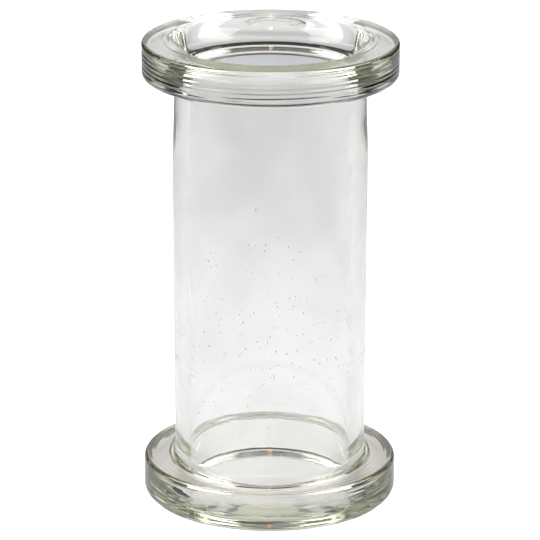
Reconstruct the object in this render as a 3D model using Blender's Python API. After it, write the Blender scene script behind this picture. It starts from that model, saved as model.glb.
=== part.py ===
"""Specimen jar: a heavy clear glass cylinder with a flange rim and a flange foot.

The jar stands on the plane z = 0 with its axis on Z. Every piece is turned: a
closed outline in the (radius, height) plane is spun once round the axis.
Both ends of the bore open out in a rounded mouth, and a thin disc of glass
closes the lower one. Units are metres.
"""
import math

import bmesh
import bpy

# Driving dimensions -------------------------------------------------------
HEIGHT = 0.2000
BORE_RADIUS = 0.0343

RIM_RADIUS = 0.0539
RIM_THICKNESS = 0.0156
RIM_EDGE_TOP = 0.0016      # rounding of the upper outer edge
RIM_EDGE_BOTTOM = 0.0026   # rounding of the lower outer edge
MOUTH_WIDENING = 0.0103    # how far the bore opens out at the top face
MOUTH_DEPTH = 0.0115       # height over which it opens
MOUTH_FULLNESS = 2.4       # 2 is an ellipse; more makes the mouth's rounding fuller

FOOT_RADIUS = 0.0540
FOOT_THICKNESS = 0.0175
FOOT_EDGE_TOP = 0.0022
FOOT_EDGE_BOTTOM = 0.0042
FOOT_BORE_WIDENING = 0.0045   # how far the bore opens out at the foot's underside
FOOT_BORE_DEPTH = 0.0035
COVE_RADIUS = 0.0040       # concave fillet between the foot and the wall

WALL_FOOT_RADIUS = 0.0408  # outer radius of the wall just above the cove
WALL_MIDDLE_RADIUS = 0.0410
WALL_MIDDLE_HEIGHT = 0.0800
WALL_UPPER_RADIUS = 0.0413
WALL_UPPER_HEIGHT = 0.1500
NECK_RADIUS = 0.0405       # from here up the wall draws in a little toward the rim
NECK_HEIGHT = 0.1720
WALL_TOP_RADIUS = 0.0401   # outer radius of the wall just under the rim

FLOOR_RADIUS = 0.0340
FLOOR_THICKNESS = 0.0022
FLOOR_EDGE = 0.0004        # bevel on the disc's edges

JOIN_GAP = 0.0003          # clearance kept between neighbouring pieces
SEGMENTS = 64              # facets round the axis
ARC_STEPS = 3              # facets along a small rounding
MOUTH_STEPS = 6            # facets along a bore's rounded mouth
SMOOTH_ANGLE = math.radians(35.0)

GLASS_COLOUR = (0.90, 0.92, 0.88, 1.0)
GLASS_ROUGHNESS = 0.03
GLASS_IOR = 1.52


def eased(value, fullness):
    """A sine or cosine raised so that an ellipse becomes a superellipse of the given fullness."""
    return math.copysign(abs(value) ** (2 / fullness), value)


def arc(centre, half_widths, start, end, steps, fullness=2.0):
    """Points of an elliptical arc in the outline plane, angles in degrees."""
    points = []
    for step in range(steps + 1):
        angle = math.radians(start + (end - start) * step / steps)
        radius = centre[0] + half_widths[0] * eased(math.cos(angle), fullness)
        height = centre[1] + half_widths[1] * eased(math.sin(angle), fullness)
        points.append((radius, height))
    return points


def outer_edge(radius, height, rounding, start):
    """A quarter-round outer edge that starts at the given angle and turns up to the next one."""
    toward_middle = 1 if start < 0 else -1
    centre = (radius - rounding, height + toward_middle * rounding)
    return arc(centre, (rounding, rounding), start, start + 90, ARC_STEPS)


def rim_outline():
    underside = HEIGHT - RIM_THICKNESS
    mouth_centre = (BORE_RADIUS + MOUTH_WIDENING, HEIGHT - MOUTH_DEPTH)
    outline = [(BORE_RADIUS, underside)]
    outline += outer_edge(RIM_RADIUS, underside, RIM_EDGE_BOTTOM, -90)
    outline += outer_edge(RIM_RADIUS, HEIGHT, RIM_EDGE_TOP, 0)
    outline += arc(mouth_centre, (MOUTH_WIDENING, MOUTH_DEPTH), 90, 180, MOUTH_STEPS, MOUTH_FULLNESS)
    return outline


def wall_outline():
    low = FOOT_THICKNESS + COVE_RADIUS + JOIN_GAP
    high = HEIGHT - RIM_THICKNESS - JOIN_GAP
    return [
        (BORE_RADIUS, low),
        (WALL_FOOT_RADIUS, low),
        (WALL_MIDDLE_RADIUS, WALL_MIDDLE_HEIGHT),
        (WALL_UPPER_RADIUS, WALL_UPPER_HEIGHT),
        (NECK_RADIUS, NECK_HEIGHT),
        (WALL_TOP_RADIUS, high),
        (BORE_RADIUS, high),
    ]


def foot_outline():
    cove_centre = (WALL_FOOT_RADIUS + COVE_RADIUS, FOOT_THICKNESS + COVE_RADIUS)
    bore_centre = (BORE_RADIUS + FOOT_BORE_WIDENING, FOOT_BORE_DEPTH)
    outline = outer_edge(FOOT_RADIUS, 0, FOOT_EDGE_BOTTOM, -90)
    outline += outer_edge(FOOT_RADIUS, FOOT_THICKNESS, FOOT_EDGE_TOP, 0)
    outline += arc(cove_centre, (COVE_RADIUS, COVE_RADIUS), 270, 180, ARC_STEPS)
    outline.append((BORE_RADIUS, FOOT_THICKNESS + COVE_RADIUS))
    outline += arc(bore_centre, (FOOT_BORE_WIDENING, FOOT_BORE_DEPTH), 180, 270, MOUTH_STEPS)
    return outline


def floor_outline():
    underside = JOIN_GAP
    top = underside + FLOOR_THICKNESS
    return [
        (0.0, underside),
        (FLOOR_RADIUS - FLOOR_EDGE, underside),
        (FLOOR_RADIUS, underside + FLOOR_EDGE),
        (FLOOR_RADIUS, top - FLOOR_EDGE),
        (FLOOR_RADIUS - FLOOR_EDGE, top),
        (0.0, top),
    ]


def clear_glass(name):
    material = bpy.data.materials.new(name)
    material.use_nodes = True
    shader = material.node_tree.nodes["Principled BSDF"]
    shader.inputs["Base Color"].default_value = GLASS_COLOUR
    shader.inputs["Roughness"].default_value = GLASS_ROUGHNESS
    shader.inputs["Metallic"].default_value = 0.0
    shader.inputs["IOR"].default_value = GLASS_IOR
    shader.inputs["Transmission Weight"].default_value = 1.0
    return material


def turned(name, outline, touches_axis=False):
    """Spin an outline, counter-clockwise with the radius to the right, into one closed solid."""
    mesh = bpy.data.meshes.new(name)
    shape = bmesh.new()
    corners = [shape.verts.new((radius, 0.0, height)) for radius, height in outline]
    pairs = list(zip(corners, corners[1:]))
    if not touches_axis:
        pairs.append((corners[-1], corners[0]))
    edges = [shape.edges.new(pair) for pair in pairs]
    bmesh.ops.spin(
        shape,
        geom=corners + edges,
        axis=(0.0, 0.0, 1.0),
        cent=(0.0, 0.0, 0.0),
        angle=math.tau,
        steps=SEGMENTS,
        use_merge=True,
    )
    bmesh.ops.remove_doubles(shape, verts=shape.verts[:], dist=0.00001)
    bmesh.ops.recalc_face_normals(shape, faces=shape.faces[:])
    shape.to_mesh(mesh)
    shape.free()
    mesh.shade_smooth()
    mesh.set_sharp_from_angle(angle=SMOOTH_ANGLE)
    piece = bpy.data.objects.new(name, mesh)
    piece.data.materials.append(clear_glass(name + "_glass"))
    bpy.context.scene.collection.objects.link(piece)
    return piece


def clear_scene():
    for item in list(bpy.data.objects):
        bpy.data.objects.remove(item, do_unlink=True)


def build_jar():
    jar = bpy.data.objects.new("specimen_jar", None)
    bpy.context.scene.collection.objects.link(jar)
    pieces = [
        turned("rim_flange", rim_outline()),
        turned("cylinder_wall", wall_outline()),
        turned("foot_flange", foot_outline()),
        turned("floor_disc", floor_outline(), touches_axis=True),
    ]
    for piece in pieces:
        piece.parent = jar


clear_scene()
build_jar()
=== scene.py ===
"""Looks of the specimen jar: one clear body of old pressed glass on a pale table."""
import math
import random

import bmesh
import bpy
from mathutils import Matrix, Vector, noise


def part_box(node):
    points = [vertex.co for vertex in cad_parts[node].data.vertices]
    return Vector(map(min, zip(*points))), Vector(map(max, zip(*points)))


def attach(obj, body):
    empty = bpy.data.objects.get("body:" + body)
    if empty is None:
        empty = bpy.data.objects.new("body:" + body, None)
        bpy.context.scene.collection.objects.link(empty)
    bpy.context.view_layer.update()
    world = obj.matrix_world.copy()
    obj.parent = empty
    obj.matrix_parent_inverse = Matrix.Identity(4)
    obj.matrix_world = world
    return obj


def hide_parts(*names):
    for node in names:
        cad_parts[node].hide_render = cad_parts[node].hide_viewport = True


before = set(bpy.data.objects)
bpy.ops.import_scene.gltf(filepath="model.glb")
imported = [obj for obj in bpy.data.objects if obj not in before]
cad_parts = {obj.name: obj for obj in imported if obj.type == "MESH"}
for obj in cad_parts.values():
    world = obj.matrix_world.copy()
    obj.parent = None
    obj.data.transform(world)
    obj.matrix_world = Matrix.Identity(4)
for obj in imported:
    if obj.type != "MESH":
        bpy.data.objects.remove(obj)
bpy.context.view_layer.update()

MM = 0.001

# Main sizes, read from the frame ---------------------------------------------
RIM_LOW, RIM_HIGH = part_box("rim_flange")
FOOT_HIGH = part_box("foot_flange")[1]
FLOOR_LOW, FLOOR_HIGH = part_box("floor_disc")

HEIGHT = RIM_HIGH.z
RIM_RADIUS = RIM_HIGH.x
RIM_UNDERSIDE = RIM_LOW.z
FOOT_RADIUS = FOOT_HIGH.x

# Roundings and radii that the boxes don't tell, as in the CAD ----------------
BORE_RADIUS = 34.3 * MM
RIM_EDGE_TOP = 1.6 * MM
RIM_EDGE_BOTTOM = 2.6 * MM
MOUTH_WIDENING = 10.3 * MM
MOUTH_DEPTH = 11.5 * MM
MOUTH_FULLNESS = 2.4       # 2 is an ellipse; more makes the rounding fuller
FOOT_EDGE_TOP = 2.2 * MM
FOOT_EDGE_BOTTOM = 4.2 * MM
FOOT_BORE_WIDENING = 4.5 * MM
FOOT_BORE_DEPTH = 3.5 * MM
COVE_RADIUS = 4.0 * MM
FOOT_TOP = FOOT_HIGH.z - COVE_RADIUS
WALL_FOOT_RADIUS = 40.8 * MM
WALL_MIDDLE_RADIUS = 41.0 * MM
WALL_UPPER_RADIUS = 41.3 * MM
NECK_RADIUS = 40.5 * MM
WALL_TOP_RADIUS = 40.1 * MM
WALL_MIDDLE_HEIGHT = 80.0 * MM
WALL_UPPER_HEIGHT = 150.0 * MM
NECK_HEIGHT = 172.0 * MM
NECK_CORNER = 0.8 * MM     # small fillet where the wall meets the rim
FLOOR_EDGE = 0.4 * MM      # rounding of the floor disc's edges

# Fineness of the turned surface ----------------------------------------------
SEGMENTS = 184
ARC_STEPS = 11
MOUTH_STEPS = 26
LOWER_MOUTH_STEPS = 16
SMALL_ARC_STEPS = 6
BORE_STEP = 5.0 * MM
WALL_STEP = 1.6 * MM
MARK_STEP = 0.4 * MM      # across the scored line
RIPPLE_STEP = 0.42 * MM   # on the rippled sides and upper faces
SAME_PLACE = 0.01 * MM
ON_AXIS = 0.001 * MM
SMOOTH_ANGLE = math.radians(35)

SEED = 11

# Seed bubbles left in the wall -------------------------------------------------
BUBBLE_COUNT = 260
BUBBLE_RADIUS = 0.30 * MM  # of the largest, across the wall
SMALLEST_BUBBLE = 0.5      # as a share of that
LONGEST_BUBBLE = 1.7       # height over width
BUBBLES_FROM = 28.0 * MM
BUBBLES_TO = 118.0 * MM
BUBBLES_MOST = 75.0 * MM   # the height where they are thickest


# Outlines --------------------------------------------------------------------
def eased(value, fullness):
    """A sine or cosine raised so that an ellipse becomes a superellipse of the given fullness."""
    return math.copysign(abs(value) ** (2 / fullness), value)


def arc(centre, half_widths, start, end, steps, fullness=2.0):
    """Points of an elliptical arc in the (radius, height) plane, angles in degrees."""
    points = []
    for step in range(steps + 1):
        angle = math.radians(start + (end - start) * step / steps)
        radius = centre[0] + half_widths[0] * eased(math.cos(angle), fullness)
        height = centre[1] + half_widths[1] * eased(math.sin(angle), fullness)
        points.append((radius, height))
    return points


def round_edge(centre, radius, start, end, steps=ARC_STEPS):
    return arc(centre, (radius, radius), start, end, steps)


def filled_in(outline):
    """The closed outline with points added, closest where the surface is rippled."""
    points = []
    for (r0, z0), (r1, z1) in zip(outline, outline[1:] + outline[:1]):
        length = math.hypot(r1 - r0, z1 - z0)
        if length < SAME_PLACE:
            continue
        longest = WALL_STEP
        if max(r0, r1) < BORE_RADIUS + SAME_PLACE:
            longest = BORE_STEP
        elif min(r0, r1) > WALL_UPPER_RADIUS and r1 < r0 + SAME_PLACE:
            longest = RIPPLE_STEP
        pieces = max(1, math.ceil(length / longest))
        for step in range(pieces):
            t = step / pieces
            points.append((r0 + (r1 - r0) * t, z0 + (z1 - z0) * t))
    return points


def wall_radius(height):
    """Outer radius of the hand-drawn wall, eased between the radii measured on it."""
    stations = [(FOOT_HIGH.z, WALL_FOOT_RADIUS), (WALL_MIDDLE_HEIGHT, WALL_MIDDLE_RADIUS)]
    stations += [(WALL_UPPER_HEIGHT, WALL_UPPER_RADIUS), (NECK_HEIGHT, NECK_RADIUS)]
    stations += [(RIM_UNDERSIDE, WALL_TOP_RADIUS)]
    for (z0, r0), (z1, r1) in zip(stations, stations[1:]):
        if height <= z1:
            t = max(0.0, (height - z0) / (z1 - z0))
            smooth = t * t * (3 - 2 * t)
            return r0 + (r1 - r0) * (smooth + t) / 2
    return WALL_TOP_RADIUS


def jar_outline():
    """The jar's whole section, counter-clockwise from the foot's underside."""
    cove = (WALL_FOOT_RADIUS + COVE_RADIUS, FOOT_TOP + COVE_RADIUS)
    neck = (WALL_TOP_RADIUS + NECK_CORNER, RIM_UNDERSIDE - NECK_CORNER)
    mouth = (BORE_RADIUS + MOUTH_WIDENING, HEIGHT - MOUTH_DEPTH)
    lower_mouth = (BORE_RADIUS + FOOT_BORE_WIDENING, FOOT_BORE_DEPTH)
    outline = round_edge((FOOT_RADIUS - FOOT_EDGE_BOTTOM, FOOT_EDGE_BOTTOM), FOOT_EDGE_BOTTOM, -90, 0)
    outline += round_edge((FOOT_RADIUS - FOOT_EDGE_TOP, FOOT_TOP - FOOT_EDGE_TOP), FOOT_EDGE_TOP, 0, 90)
    outline += round_edge(cove, COVE_RADIUS, 270, 180)
    height = FOOT_HIGH.z + WALL_STEP
    while height < RIM_UNDERSIDE - NECK_CORNER - WALL_STEP:
        outline.append((wall_radius(height), height))
        near_mark = abs(height - MARK_HEIGHT) < MARK_TILT + 2 * MARK_WIDTH
        height += MARK_STEP if near_mark else WALL_STEP
    outline += round_edge(neck, NECK_CORNER, 180, 90, SMALL_ARC_STEPS)
    rim_low = (RIM_RADIUS - RIM_EDGE_BOTTOM, RIM_UNDERSIDE + RIM_EDGE_BOTTOM)
    outline += round_edge(rim_low, RIM_EDGE_BOTTOM, -90, 0)
    outline += round_edge((RIM_RADIUS - RIM_EDGE_TOP, HEIGHT - RIM_EDGE_TOP), RIM_EDGE_TOP, 0, 90)
    outline += arc(mouth, (MOUTH_WIDENING, MOUTH_DEPTH), 90, 180, MOUTH_STEPS, MOUTH_FULLNESS)
    outline += arc(lower_mouth, (FOOT_BORE_WIDENING, FOOT_BORE_DEPTH), 180, 270, LOWER_MOUTH_STEPS)
    return filled_in(outline)


# Relief of the hand-pressed surface --------------------------------------------
RIM_RIPPLE = 0.130 * MM    # tooling lines round the rim's side
RIM_RIPPLE_PITCH = 1.9 * MM
RIM_RIPPLE_LEAST = 0.35    # share of the depth kept where the lines are faintest
FOOT_RIPPLE = 0.085 * MM   # fainter ones round the foot's side
FOOT_RIPPLE_PITCH = 3.0 * MM
FACE_RIPPLE = 0.075 * MM   # rings on the foot's upper face
FACE_RIPPLE_PITCH = 2.3 * MM
MOUTH_RINGS = (42.2 * MM, 45.0 * MM)
MOUTH_RING_DEPTH = 0.10 * MM
MOUTH_RING_WIDTH = 0.45 * MM
WALL_UNEVENNESS = 0.10 * MM
WALL_BLEND = 15.0 * MM     # the wall is true again this near the foot and the rim,
RIPPLE_BLEND = 1.0 * MM    # and so are the sides and faces this near their edges
MARK_HEIGHT = 61.5 * MM    # a faint scored line round the wall, a little tilted
MARK_TILT = 1.0 * MM
MARK_DEPTH = 0.085 * MM
MARK_WIDTH = 0.5 * MM
WANDER_HEIGHT = 20.0 * MM  # how far up the surface its slow changes run
ON_SURFACE = 0.05 * MM     # how near a side or face counts as on it
RIM_SEED, FOOT_SEED, FACE_SEED, WALL_SEED = (SEED + step for step in (0, 7, 13, 21))


def wander(outward, height, scale, seed):
    """Slow seeded noise from 0 to 1 over the turned surface."""
    place = Vector((outward.x * scale, outward.y * scale, height / WANDER_HEIGHT + seed))
    return min(1.0, max(0.0, 0.5 + noise.noise(place)))


def dent(distance, width):
    """A smooth groove profile: 1 at its middle and 0 a few widths away."""
    return math.exp(-((distance / width) ** 2))


def within(value, low, high, blend):
    """1 inside a span, falling to 0 at its two ends over the blend."""
    return max(0.0, min(1.0, (value - low) / blend, (high - value) / blend))


def relief(outward, radius, height):
    """How far a point of the jar's surface is pressed in, as (radial, vertical) distances."""
    radial = vertical = 0.0
    on_rim_side = radius > RIM_RADIUS - ON_SURFACE and height > RIM_UNDERSIDE
    on_foot_side = radius > FOOT_RADIUS - ON_SURFACE and height < FOOT_TOP
    if on_rim_side:
        phase = math.tau * height / RIM_RIPPLE_PITCH + 3 * wander(outward, height / 4, 0.8, RIM_SEED)
        strength = RIM_RIPPLE_LEAST + (1 - RIM_RIPPLE_LEAST) * wander(outward, height * 6, 1.6, RIM_SEED + 3)
        inside = within(height, RIM_UNDERSIDE + RIM_EDGE_BOTTOM, HEIGHT - RIM_EDGE_TOP, RIPPLE_BLEND)
        radial = -RIM_RIPPLE * strength * inside * (1 + math.sin(phase))
    elif on_foot_side:
        phase = math.tau * height / FOOT_RIPPLE_PITCH + 2 * wander(outward, height / 4, 0.8, FOOT_SEED)
        strength = wander(outward, height * 4, 1.3, FOOT_SEED + 2)
        inside = within(height, FOOT_EDGE_BOTTOM, FOOT_TOP - FOOT_EDGE_TOP, RIPPLE_BLEND)
        radial = -FOOT_RIPPLE * strength * inside * (1 + math.sin(phase))
    elif abs(height - FOOT_TOP) < ON_SURFACE and radius > WALL_FOOT_RADIUS:
        phase = math.tau * radius / FACE_RIPPLE_PITCH + 2 * wander(outward, height, 0.9, FACE_SEED)
        strength = wander(outward, radius * 6, 1.5, FACE_SEED + 2)
        inside = within(radius, WALL_FOOT_RADIUS + COVE_RADIUS, FOOT_RADIUS - FOOT_EDGE_TOP, RIPPLE_BLEND)
        vertical = -FACE_RIPPLE * strength * inside * (1 + math.sin(phase))
    elif FOOT_HIGH.z < height < RIM_UNDERSIDE and radius > BORE_RADIUS + MM:
        mark = MARK_HEIGHT + MARK_TILT * outward.x
        inside = within(height, FOOT_HIGH.z, RIM_UNDERSIDE, WALL_BLEND)
        radial = -WALL_UNEVENNESS * inside * wander(outward, height, 1.1, WALL_SEED)
        radial -= MARK_DEPTH * dent(height - mark, MARK_WIDTH)
    if height > HEIGHT - MOUTH_DEPTH / 2 and radius < RIM_RADIUS - RIM_EDGE_TOP:
        for ring in MOUTH_RINGS:
            vertical -= MOUTH_RING_DEPTH * dent(radius - ring, MOUTH_RING_WIDTH)
    return outward * radial + Vector((0, 0, vertical))


# Meshes ----------------------------------------------------------------------
def turned_mesh(name, outline, closed=True, offset=None):
    """A smooth turned mesh. An outline that isn't closed starts and ends on the axis."""
    verts, faces, rings = [], [], []
    for radius, height in outline:
        if radius < ON_AXIS:
            verts.append((0.0, 0.0, height))
            rings.append([len(verts) - 1] * SEGMENTS)
            continue
        ring = []
        for step in range(SEGMENTS):
            angle = math.tau * step / SEGMENTS
            outward = Vector((math.cos(angle), math.sin(angle), 0.0))
            point = outward * radius + Vector((0, 0, height))
            if offset:
                point += offset(outward, radius, height)
            ring.append(len(verts))
            verts.append(tuple(point))
        rings.append(ring)
    pairs = list(zip(rings, rings[1:] + rings[:1])) if closed else list(zip(rings, rings[1:]))
    for low, high in pairs:
        for step in range(SEGMENTS):
            after = (step + 1) % SEGMENTS
            face = [low[step], low[after], high[after], high[step]]
            face = list(dict.fromkeys(face))
            if len(face) > 2:
                faces.append(face)
    mesh = bpy.data.meshes.new(name)
    mesh.from_pydata(verts, [], faces)
    mesh.shade_smooth()
    mesh.set_sharp_from_angle(angle=SMOOTH_ANGLE)
    return mesh


def seed_bubbles(count):
    """Small air bubbles in the wall, as closed shells whose faces look into the bubble."""
    pick = random.Random(SEED)
    shape = bmesh.new()
    for _ in range(count):
        angle = pick.uniform(0, math.tau)
        height = pick.triangular(BUBBLES_FROM, BUBBLES_TO, BUBBLES_MOST)
        size = BUBBLE_RADIUS * pick.uniform(SMALLEST_BUBBLE, 1.0)
        radius = pick.uniform(BORE_RADIUS + 2 * size, wall_radius(height) - 2.5 * size)
        place = Matrix.Translation((radius * math.cos(angle), radius * math.sin(angle), height))
        long_way = Matrix.Diagonal((size, size, size * pick.uniform(1.0, LONGEST_BUBBLE), 1.0))
        bmesh.ops.create_icosphere(shape, subdivisions=2, radius=1.0, matrix=place @ long_way)
    bmesh.ops.reverse_faces(shape, faces=shape.faces[:])
    mesh = bpy.data.meshes.new("bubbles")
    shape.to_mesh(mesh)
    shape.free()
    return mesh


def with_bubbles(mesh, bubbles):
    """One mesh of the glass and the bubbles inside it."""
    shape = bmesh.new()
    shape.from_mesh(mesh)
    shape.from_mesh(bubbles)
    for face in shape.faces:
        face.smooth = True
    shape.to_mesh(mesh)
    shape.free()
    mesh.set_sharp_from_angle(angle=SMOOTH_ANGLE)
    return mesh


def link(name, mesh):
    piece = bpy.data.objects.new(name, mesh)
    bpy.context.scene.collection.objects.link(piece)
    return piece


# Glass -----------------------------------------------------------------------
GLASS_IOR = 1.52
GLASS_ABSORBS = (0.74, 0.75, 0.58, 1.0)   # olive where the way through is long
ABSORPTION_DENSITY = 14.0
CLEAN = (1.0, 1.0, 1.0, 1.0)
HAZED = (0.93, 0.93, 0.935, 1.0)           # where handling has dulled the surface
SMUDGE_SCALE = 26.0
SMUDGE_DETAIL = 5.0
TINT_RANGE = (0.48, 0.66)                   # noise levels between clean and hazed
DULL_RANGE = (0.50, 0.75)                   # and between smooth and dulled
SMUDGE_ROUGHNESS = 0.025
SKIN_SCALE = 90.0
SKIN_DETAIL = 2.0
SKIN_HEIGHT = 0.04 * MM


def noise_map(tree, coordinates, scale, detail):
    texture = tree.nodes.new("ShaderNodeTexNoise")
    texture.inputs["Scale"].default_value = scale
    texture.inputs["Detail"].default_value = detail
    tree.links.new(coordinates, texture.inputs["Vector"])
    return texture.outputs["Fac"]


def clear_glass(name):
    """Old clear glass: an olive tint in its depth, faint smudges and a slightly wavy skin."""
    material = bpy.data.materials.new(name)
    material.use_nodes = True
    tree = material.node_tree
    shader = tree.nodes["Principled BSDF"]
    shader.inputs["Transmission Weight"].default_value = 1.0
    shader.inputs["IOR"].default_value = GLASS_IOR
    coordinates = tree.nodes.new("ShaderNodeTexCoord").outputs["Object"]

    smudges = noise_map(tree, coordinates, SMUDGE_SCALE, SMUDGE_DETAIL)
    tint = tree.nodes.new("ShaderNodeValToRGB")
    for stop, position, colour in zip(tint.color_ramp.elements, TINT_RANGE, (CLEAN, HAZED)):
        stop.position = position
        stop.color = colour
    tree.links.new(smudges, tint.inputs["Fac"])
    tree.links.new(tint.outputs["Color"], shader.inputs["Base Color"])

    dullness = tree.nodes.new("ShaderNodeMapRange")
    dullness.inputs["From Min"].default_value = DULL_RANGE[0]
    dullness.inputs["From Max"].default_value = DULL_RANGE[1]
    dullness.inputs["To Min"].default_value = 0.0
    dullness.inputs["To Max"].default_value = SMUDGE_ROUGHNESS
    tree.links.new(smudges, dullness.inputs["Value"])
    tree.links.new(dullness.outputs["Result"], shader.inputs["Roughness"])

    skin = tree.nodes.new("ShaderNodeBump")
    skin.inputs["Distance"].default_value = SKIN_HEIGHT
    tree.links.new(noise_map(tree, coordinates, SKIN_SCALE, SKIN_DETAIL), skin.inputs["Height"])
    tree.links.new(skin.outputs["Normal"], shader.inputs["Normal"])

    absorption = tree.nodes.new("ShaderNodeVolumeAbsorption")
    absorption.inputs["Color"].default_value = GLASS_ABSORBS
    absorption.inputs["Density"].default_value = ABSORPTION_DENSITY
    tree.links.new(absorption.outputs[0], tree.nodes["Material Output"].inputs["Volume"])
    return material


def make_jar():
    glass = turned_mesh("glass_body", jar_outline(), offset=relief)
    piece = link("glass_body", with_bubbles(glass, seed_bubbles(BUBBLE_COUNT)))
    piece.data.materials.append(clear_glass("jar_glass"))
    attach(piece, "root")
    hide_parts("rim_flange", "cylinder_wall", "foot_flange")
    return piece


def make_floor_disc():
    middle = FLOOR_HIGH.x - FLOOR_EDGE
    outline = [(0.0, FLOOR_LOW.z)]
    outline += round_edge((middle, FLOOR_LOW.z + FLOOR_EDGE), FLOOR_EDGE, -90, 0, SMALL_ARC_STEPS)
    outline += round_edge((middle, FLOOR_HIGH.z - FLOOR_EDGE), FLOOR_EDGE, 0, 90, SMALL_ARC_STEPS)
    outline += [(0.0, FLOOR_HIGH.z)]
    piece = link("floor_glass", turned_mesh("floor_glass", outline, closed=False))
    piece.data.materials.append(clear_glass("floor_glass"))
    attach(piece, "root")
    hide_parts("floor_disc")
    return piece


# Camera ----------------------------------------------------------------------
CAMERA_PLACE = Vector((0.0, -1.4366, 0.5675))
CAMERA_PITCH = math.radians(18.06)
CAMERA_ROLL = math.radians(0.17)
CAMERA_LENS = 237.0
CAMERA_SENSOR = 36.0


def make_camera():
    data = bpy.data.cameras.new("camera")
    data.sensor_width = CAMERA_SENSOR
    data.lens = CAMERA_LENS
    camera = bpy.data.objects.new("camera", data)
    bpy.context.scene.collection.objects.link(camera)
    turn = Matrix.Rotation(math.radians(90) - CAMERA_PITCH, 4, "X") @ Matrix.Rotation(CAMERA_ROLL, 4, "Z")
    camera.matrix_world = Matrix.Translation(CAMERA_PLACE) @ turn
    bpy.context.scene.camera = camera


# Stage -----------------------------------------------------------------------
TABLE_SIDE = 2.0
TABLE_FRONT = -2.0
TABLE_BACK = 0.9
TABLE_DROP = 0.3 * MM
TABLE_COLOUR = (0.80, 0.80, 0.82)
TABLE_ROUGHNESS = 0.8
TABLE_LIFT = 0.90          # extra brightness the camera sees in the table itself
ROOM_LIFT = 1.0            # and in the room
ROOM_GREY = 0.04           # the dim room near the horizon
CEILING_GREY = 0.30        # the pale ceiling overhead
CEILING_STARTS = math.sin(math.radians(35))
CEILING_FULL = math.sin(math.radians(65))
# The POOL numbers are a painted pool of light: the table is made to glow inside the bore, under the foot and
# round it, in place of the light the jar gathers and focuses.
POOL_INSIDE = 0.64         # glow of the table inside the bore, for the light the jar gathers,
POOL_UNDER_FOOT = 0.26     # under the foot,
POOL_AROUND = 0.16         # and round it, where it fades out
POOL_FADES = 700.0 * MM
AIM = Vector((0.0, 0.0, HEIGHT / 2))
GLASS_BOUNCES = 32         # light piped along the wall turns many times before it leaves
DIFFUSE_BOUNCES = 3
CLAMP = 6.0

# name, place, size, radiance, colour
PANELS = (
    ("left_softbox", (-0.70, 0.0, 0.75), (1.00, 0.50), 4.6, (0.98, 0.99, 1.0)),
    ("right_softbox", (0.70, 0.0, 0.75), (1.00, 0.50), 4.6, (0.98, 0.99, 1.0)),
    ("back_panel", (0.0, 1.50, 0.72), (1.2, 0.95), 0.85, (1.0, 1.0, 1.0)),
    ("warm_lamp", (0.0, -1.0, 1.25), (0.09, 0.09), 150.0, (1.0, 0.40, 0.15)),
)


def soft_panel(name, place, size, radiance, colour):
    """A flat rectangular light aimed at the jar, with its brightness given per unit of its own area."""
    data = bpy.data.lights.new(name, "AREA")
    data.shape = "RECTANGLE"
    data.size, data.size_y = size
    data.energy = radiance * math.pi * size[0] * size[1]
    data.color = colour
    light = bpy.data.objects.new(name, data)
    bpy.context.scene.collection.objects.link(light)
    light.location = place
    light.rotation_euler = (AIM - Vector(place)).to_track_quat("-Z", "Y").to_euler()
    light.visible_diffuse = name != "warm_lamp"


def only_for_camera(tree, strength):
    """A value that is the given strength for what the camera sees directly, and nothing otherwise."""
    path = tree.nodes.new("ShaderNodeLightPath")
    scale = tree.nodes.new("ShaderNodeMath")
    scale.operation = "MULTIPLY"
    scale.inputs[1].default_value = strength
    tree.links.new(path.outputs["Is Camera Ray"], scale.inputs[0])
    return scale.outputs[0]


def faded(tree, value, start, end, first, last):
    """A smooth change from the first number to the last as the value goes from start to end."""
    fade = tree.nodes.new("ShaderNodeMapRange")
    fade.interpolation_type = "SMOOTHSTEP"
    for socket, number in zip(("From Min", "From Max", "To Min", "To Max"), (start, end, first, last)):
        fade.inputs[socket].default_value = number
    tree.links.new(value, fade.inputs["Value"])
    return fade.outputs[0]


def pool_of_light(tree):
    """A painted pool of light: the table glows by distance from the jar's axis, in place of the light the
    jar gathers.
    """
    place = tree.nodes.new("ShaderNodeNewGeometry")
    distance = tree.nodes.new("ShaderNodeVectorMath")
    distance.operation = "LENGTH"
    tree.links.new(place.outputs["Position"], distance.inputs[0])
    distance = distance.outputs["Value"]
    foot_edge = FOOT_RADIUS - FOOT_EDGE_BOTTOM
    lower_mouth = BORE_RADIUS + FOOT_BORE_WIDENING
    pool = tree.nodes.new("ShaderNodeMix")
    tree.links.new(faded(tree, distance, foot_edge, FOOT_RADIUS, 0.0, 1.0), pool.inputs[0])
    within_foot = faded(tree, distance, BORE_RADIUS, lower_mouth, POOL_INSIDE, POOL_UNDER_FOOT)
    tree.links.new(within_foot, pool.inputs[2])
    tree.links.new(faded(tree, distance, FOOT_RADIUS, POOL_FADES, POOL_AROUND, 0.0), pool.inputs[3])
    return pool.outputs[0]


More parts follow.
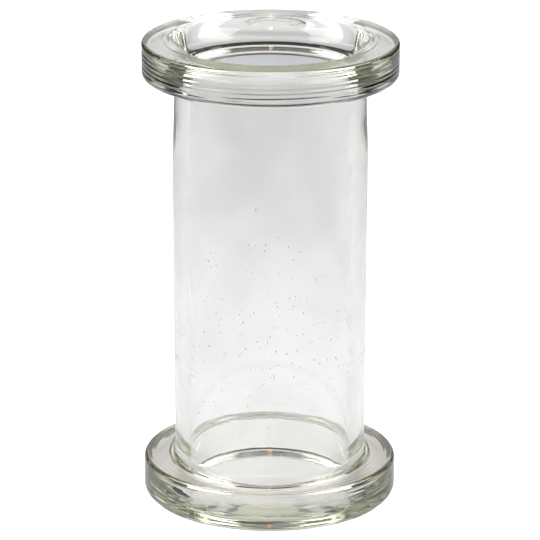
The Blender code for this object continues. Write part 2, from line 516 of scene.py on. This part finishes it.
def make_table():
    side, front, back = TABLE_SIDE, TABLE_FRONT, TABLE_BACK
    mesh = bpy.data.meshes.new("table")
    corners = [(-side, front, 0), (side, front, 0), (side, back, 0), (-side, back, 0)]
    mesh.from_pydata(corners, [], [(0, 1, 2, 3)])
    table = link("table", mesh)
    table.location.z = -TABLE_DROP
    material = bpy.data.materials.new("table")
    material.use_nodes = True
    tree = material.node_tree
    shader = tree.nodes["Principled BSDF"]
    shader.inputs["Base Color"].default_value = (*TABLE_COLOUR, 1)
    shader.inputs["Roughness"].default_value = TABLE_ROUGHNESS
    shader.inputs["Specular IOR Level"].default_value = 0.0
    shader.inputs["Emission Color"].default_value = (1, 1, 1, 1)
    # The table's emission is the camera-only lift plus the painted pool of light round the jar.
    glow = tree.nodes.new("ShaderNodeMath")
    glow.operation = "ADD"
    tree.links.new(only_for_camera(tree, TABLE_LIFT), glow.inputs[0])
    tree.links.new(pool_of_light(tree), glow.inputs[1])
    tree.links.new(glow.outputs[0], shader.inputs["Emission Strength"])
    mesh.materials.append(material)


def make_room():
    world = bpy.data.worlds.new("studio")
    bpy.context.scene.world = world
    world.use_nodes = True
    tree = world.node_tree
    background = tree.nodes["Background"]
    background.inputs["Color"].default_value = (1, 1, 1, 1)
    direction = tree.nodes.new("ShaderNodeTexCoord")
    split = tree.nodes.new("ShaderNodeSeparateXYZ")
    tree.links.new(direction.outputs["Generated"], split.inputs[0])
    ceiling = faded(tree, split.outputs["Z"], CEILING_STARTS, CEILING_FULL, ROOM_GREY, CEILING_GREY)
    lift = tree.nodes.new("ShaderNodeMath")
    lift.operation = "ADD"
    tree.links.new(only_for_camera(tree, ROOM_LIFT), lift.inputs[0])
    tree.links.new(ceiling, lift.inputs[1])
    tree.links.new(lift.outputs[0], background.inputs["Strength"])


def make_stage():
    make_table()
    make_room()
    for panel in PANELS:
        soft_panel(*panel)
    scene = bpy.context.scene
    scene.view_settings.view_transform = "Standard"
    scene.cycles.max_bounces = GLASS_BOUNCES
    scene.cycles.transmission_bounces = GLASS_BOUNCES
    scene.cycles.glossy_bounces = GLASS_BOUNCES
    scene.cycles.diffuse_bounces = DIFFUSE_BOUNCES
    scene.cycles.sample_clamp_indirect = CLAMP


make_camera()
make_jar()
make_floor_disc()
make_stage()
